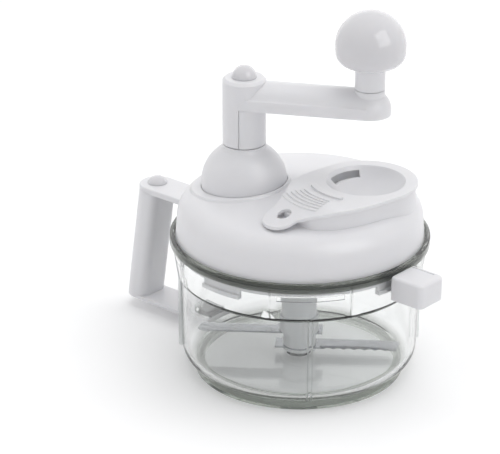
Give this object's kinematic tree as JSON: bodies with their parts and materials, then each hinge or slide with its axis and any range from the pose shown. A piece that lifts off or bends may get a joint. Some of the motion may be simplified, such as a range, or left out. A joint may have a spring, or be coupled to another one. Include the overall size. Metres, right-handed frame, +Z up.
{
  "type": "crank food chopper",
  "caption": "Hand-cranked food chopper: clear bowl with a D handle and side lug, domed lid with geared crank and ball knob, bladed hub, lift-out separator cup.",
  "frame": {"origin": "centre of the bowl's foot, on the table", "axes": "+Z up along the bowl's axis, +X towards the side lug, away from the D handle"},
  "size_m": [0.2851, 0.186, 0.2724],
  "materials": {
    "clear_plastic": "clear",
    "white_plastic": "gloss",
    "hub_plastic": "satin",
    "gear_plastic": "satin",
    "bush_plastic": "matte",
    "steel": "satin",
    "blade_steel": "polished"
  },
  "bodies": {
    "bowl_unit": {"bowl": "clear_plastic", "centre_pin": "steel", "handle_bracket": "white_plastic", "handle_grip": "white_plastic", "handle_cap": "white_plastic", "handle_bolt": "steel", "handle_screws": "steel", "side_lug": "white_plastic", "lug_screw": "steel"},
    "lid_unit": {"lid_shell": "white_plastic", "bearing_dome": "white_plastic", "dome_screws": "steel", "upper_bush": "bush_plastic", "lower_bush": "bush_plastic", "pinion_bush": "bush_plastic", "gear_cover": "white_plastic", "cover_screws": "steel"},
    "crank_unit": {"crank_shaft": "steel", "drive_gear": "gear_plastic", "shaft_clip": "steel", "crank_post": "white_plastic", "crank_arm": "white_plastic", "crank_screw": "steel", "crank_cap": "white_plastic", "knob_spindle": "steel"},
    "knob_unit": {"knob_ball": "white_plastic", "knob_stem": "white_plastic"},
    "pinion_unit": {"pinion": "gear_plastic"},
    "blade_unit": {"hub_base": "hub_plastic", "hub_spacer": "hub_plastic", "hub_sleeve": "hub_plastic", "lower_blade": "blade_steel", "upper_blade": "blade_steel"},
    "separator_unit": {"separator_insert": "white_plastic"}
  },
  "joints": [
    {"name": "lid_lift", "type": "slide", "parent": "bowl_unit", "child": "lid_unit", "axis": [0, 0, 1], "range_m": [0, 0.07]},
    {"name": "crank_turn", "type": "hinge", "parent": "lid_unit", "child": "crank_unit", "pos_m": [-0.03542, -0.01963, 0.18], "axis": [0, 0, 1], "continuous": true},
    {"name": "knob_spin", "type": "hinge", "parent": "crank_unit", "child": "knob_unit", "pos_m": [0.04242, 0.02351, 0.23], "axis": [0, 0, 1], "continuous": true},
    {"name": "pinion_turn", "type": "hinge", "parent": "lid_unit", "child": "pinion_unit", "pos_m": [0, 0, 0.12], "axis": [0, 0, 1], "continuous": true},
    {"name": "blade_turn", "type": "hinge", "parent": "bowl_unit", "child": "blade_unit", "pos_m": [0, 0, 0.03], "axis": [0, 0, 1], "continuous": true},
    {"name": "separator_lift", "type": "slide", "parent": "lid_unit", "child": "separator_unit", "axis": [0, 0, 1], "range_m": [0, 0.04]}
  ],
  "couplings": [
    {"joint": "pinion_turn", "follows": "crank_turn", "ratio": -2},
    {"joint": "blade_turn", "follows": "crank_turn", "ratio": -2}
  ]
}
